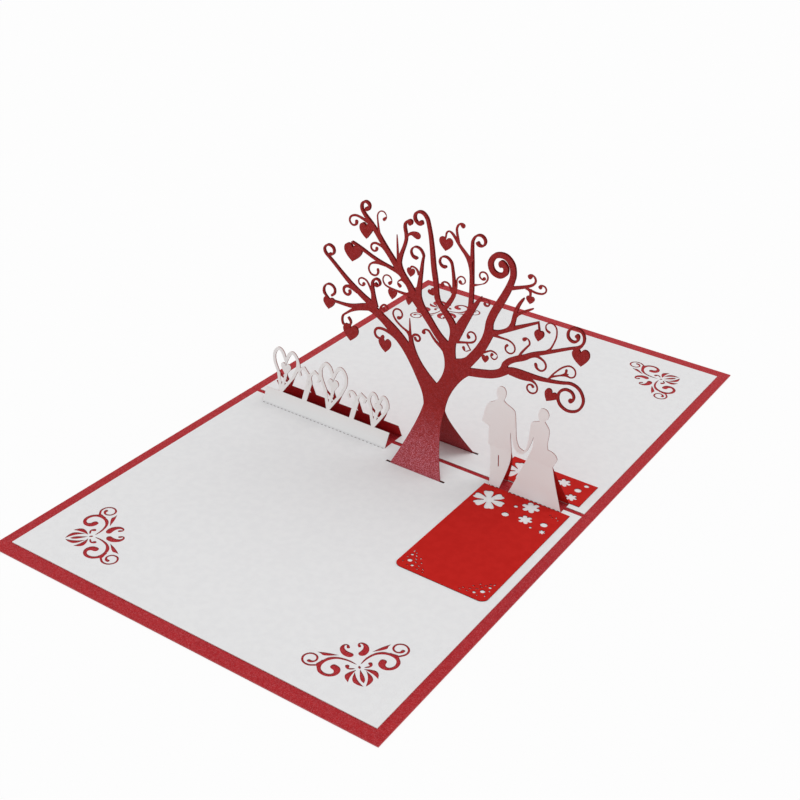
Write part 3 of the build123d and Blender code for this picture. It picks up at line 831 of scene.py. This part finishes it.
# %% Cover edges and slots
cover_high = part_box("outer_cover")[1]
liner_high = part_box("rear_liner")[1]
edge_skin = 0.02 * mm
edge_share = 0.4
inner_shares = (0.98, 0.99)
soft_edge_share = 1.2
foot_slot = 13.6 * mm
foot_slot_reach = 0.6 * mm
garland_row = garland_dashes[0][1]
garland_row_reach = 0.2 * mm
couple_row = couple_dashes[0][1]
couple_row_reach = 0.15 * mm


def strip(distance, half_width):
    """1 within half_width of a line, from the distance to it."""
    return 1 - abs(distance).rises(half_width, soft_edge_share * half_width)


across, along = cover_pearl.axes()[:2]
at_side = abs(across).rises(cover_high[0] - edge_skin, cover_high[0])
at_end = abs(along).rises(cover_high[1] - edge_skin, cover_high[1])
cover_pearl.paint(at_side.at_least(at_end) * edge_share, colour(0.62, 0.20, 0.21))

# Painted shade inside the slots and the perforated lines, where the liners let little light in.
dark = strip(abs(along) - foot_slot, foot_slot_reach)
dark = dark.at_least(strip(along - garland_row, garland_row_reach))
dark = dark.at_least(strip(along - couple_row, couple_row_reach))
under_liner = 1 - abs(across).rises(*(share * liner_high[0] for share in inner_shares))
cover_pearl.paint(dark * under_liner, colour(0.02, 0.003, 0.003))
count_nodes(cover_pearl)

# %% [markdown]
# ## Plain papers
# The panels are a brighter, matt red paper. The liners are smooth white paper with the faint
# cloudy look of its fibres. What stands up gets painted light: it is painted lighter above its
# foot, where the page throws light on it, and warmer higher up, where the red sheets close behind
# it let a little of their warmth come through.

# %% Papers
paper_gloss = 0.06
cloud_size = 3 * mm
grain_size = 0.35 * mm
paper_detail = 3.0
cloud_share = 0.6
paper_grain = 0.012 * mm
bounce_light_rise = (0.9 * mm, 1.6 * mm)
red_light_rise = (2 * mm, 8 * mm)


def paper(name, first, second, roughness, grain_depth, standing_painted_light=()):
    """Plain paper between two colours, and two colours of painted light, above the foot and at the top,
    where it stands.
    """
    finish = Finish(name, roughness, 0.0, paper_gloss)
    cloud = finish.noise(1 / cloud_size, paper_detail)
    grain = finish.noise(1 / grain_size, paper_detail)
    fibre_tone = cloud.rises(*cloud_limits) * cloud_share + grain * (1 - cloud_share)
    tone = finish.mix(fibre_tone, first, second)
    # Painted light: lighter above the foot from the page's bounce, and warmer higher up from the red
    # sheets.
    if standing_painted_light:
        height = finish.axes()[2]
        tone = finish.mix(height.rises(*bounce_light_rise), tone, standing_painted_light[0])
        tone = finish.mix(height.rises(*red_light_rise), tone, standing_painted_light[1])
    finish.set(finish.shader, {"Base Color": tone})
    finish.bump(grain, grain_depth)
    return finish


# The last two colours are painted light on what stands up.
white_paper = paper(
    "white_paper", colour(0.79, 0.79, 0.80), colour(0.83, 0.83, 0.835), 0.72, paper_grain,
    (colour(0.91, 0.91, 0.91), colour(0.90, 0.866, 0.855)))
bright_red_paper = paper(
    "bright_red_paper", colour(0.49, 0.011, 0.008), colour(0.55, 0.016, 0.012), 0.7, paper_grain)
count_nodes(white_paper, bright_red_paper)

# %% [markdown]
# ## Dashes on the couple's foot
# The panel's edge covers the openings in front of the couple's crease. On the real card their
# ends show on the foot just above the panel as short dark marks of shade, so they are painted there
# as painted shade: a zigzag of the place across the card, cut off at a height, gives a row of short marks.

# %% Dashes on the couple's foot
couple_side = (39 * mm, 40 * mm)
dash_edge_shares = (0.2, 0.24)
dash_foot = (0.02 * mm, 0.04 * mm)
dash_head = (0.3 * mm, 0.4 * mm)

across, _, up = white_paper.axes()
dash = across.zigzag(dash_pitch / 2).rises(*(share * dash_pitch for share in dash_edge_shares))
dash = dash * across.rises(*couple_side) * up.rises(*(liner_top + height for height in dash_foot))
dash = dash * (1 - up.rises(*(liner_top + height for height in dash_head)))
# Painted shade of the openings, as short dark marks on the couple's foot.
white_paper.paint(dash, colour(0.09, 0.05, 0.045))
count_nodes(white_paper)

# %% [markdown]
# ## Cut edges
# The laser scorches a cut a little. The liners' own edges stay pale, but the cut-outs in them get
# painted shade with a painted red reflection from the cover below, and the perforated lines a dark
# brown painted shade for their narrow openings. What stands up has a painted pink cast from the
# sheet behind it. Red card gets a dark rim: its scorched cut, darkened with painted shade such as
# the tree's two layers cast on each other's edges.

# %% Cut edges
rim_roughness = 0.85
rim_grain = 0.01 * mm
flat_rise_share = 1.2
perforation_shade_reach = 0.25 * mm

# The last two colours are painted light on what stands up, pinker higher up from the red sheet behind.
white_rim = paper(
    "white_rim", colour(0.66, 0.62, 0.60), colour(0.74, 0.71, 0.69), rim_roughness, rim_grain,
    (colour(0.68, 0.62, 0.60), colour(0.58, 0.40, 0.38)))
across, along, up = white_rim.axes()
shaded_cutout_rims = 1 - abs(across).rises(*(share * liner_high[0] for share in inner_shares))
shaded_cutout_rims = shaded_cutout_rims * (1 - abs(along).rises(*(share * liner_high[1] for share in inner_shares)))
flat = 1 - up.rises(liner_top, flat_rise_share * liner_top)
perforation_shade = strip(along - garland_row, perforation_shade_reach).at_least(strip(along - couple_row, couple_row_reach))
# Painted shade with a painted red reflection in the cut-outs, and dark painted shade in the perforations.
white_rim.paint(shaded_cutout_rims * flat, colour(0.46, 0.26, 0.25))
white_rim.paint(perforation_shade * flat, colour(0.07, 0.045, 0.04))
# A dark rim for red card: its scorched cut, darkened with painted shade along the edges.
red_rim_with_painted_shade = paper("red_rim_with_painted_shade", colour(0.10, 0.007, 0.007), colour(0.17, 0.010, 0.010), 0.8, rim_grain)
count_nodes(white_rim, red_rim_with_painted_shade)

# %% [markdown]
# ## Dressing the sheets
# Each piece moves with the card's one body and stands for the node that it was made from. The
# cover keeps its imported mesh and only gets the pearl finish.

# %% Dress
def dress(piece, node, face, rim):
    """Give a piece its two finishes, and say what it rides on and which node it stands for."""
    piece.data.materials[0] = face.material
    piece.data.materials[1] = rim.material
    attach(piece, "root")
    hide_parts(node)
    print(piece.name, "stands for", node, "in", face.material.name, "and", rim.material.name)


dress(front_tree, "tree_front", tree_pearl, red_rim_with_painted_shade)
dress(rear_tree, "tree_rear", tree_pearl, red_rim_with_painted_shade)
dress(front_liner, "front_liner", white_paper, white_rim)
dress(rear_liner, "rear_liner", white_paper, white_rim)
dress(garland_strip, "garland_back", strip_pearl, red_rim_with_painted_shade)
dress(front_panel, "front_panel", bright_red_paper, red_rim_with_painted_shade)
dress(rear_panel, "couple_back", bright_red_paper, red_rim_with_painted_shade)

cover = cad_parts["outer_cover"]
cover.data.materials.clear()
cover.data.materials.append(cover_pearl.material)

# %% [markdown]
# ## The floor
# The card was photographed on white. The floor is pale, and the camera sees it partly as plain
# white, so that the picture's ground is white and still keeps the card's shadow, with no more
# light on the card.

# %% Floor
floor_size = 8.0
floor_gap = 0.02 * mm
floor_white_share = 0.85

bpy.ops.mesh.primitive_plane_add(size=floor_size, location=(0, 0, -floor_gap))
floor = bpy.context.object
floor.name = "floor"

floor_finish = Finish("pale_floor", 0.9, 0.0, 0.0)
floor_finish.set(floor_finish.shader, {"Base Color": colour(0.95, 0.95, 0.95)})
glow = floor_finish.node("ShaderNodeEmission", {}, {"Strength": 1.0})
blend = floor_finish.node("ShaderNodeMixShader", {}, {
    0: floor_finish.seen_directly() * floor_white_share,
    1: floor_finish.shader.outputs[0],
    2: glow.outputs[0],
})
surface = floor_finish.tree.nodes["Material Output"]
floor_finish.set(surface, {"Surface": blend.outputs[0]})
floor.data.materials.append(floor_finish.material)
count_nodes(floor_finish)

# %% [markdown]
# ## The light
# The light in the photograph is soft and comes from all round, with a little more of it from
# behind. The world gives most of it, and a wide sun gives the soft shadow that falls towards the
# viewer. What the camera sees of the world is white, whatever light it gives.

# %% Lights
sun_from = Vector((0.45, 0.75, 1.1))
sun_strength = 0.7
sun_width = radians(40)
world_strength = 0.76

bpy.ops.object.light_add(type="SUN", rotation=sun_from.to_track_quat("Z", "Y").to_euler())
sun = bpy.context.object
sun.name = "soft_sun"
sun.data.energy = sun_strength
sun.data.angle = sun_width

world = bpy.data.worlds.new("studio")
bpy.context.scene.world = world
world.use_nodes = True
sky = Net(world.node_tree)
light_on_card = 1 - (1 - world_strength) * (1 - sky.seen_directly())
sky.set(sky.tree.nodes["Background"], {"Color": colour(1.0, 1.0, 1.0), "Strength": light_on_card})

bpy.context.scene.view_settings.view_transform = "Standard"
print("the sun gives", sun_strength, "and the world", world_strength)

# %% [markdown]
# ## The end
# The dressed card must stay as large as the imported one.
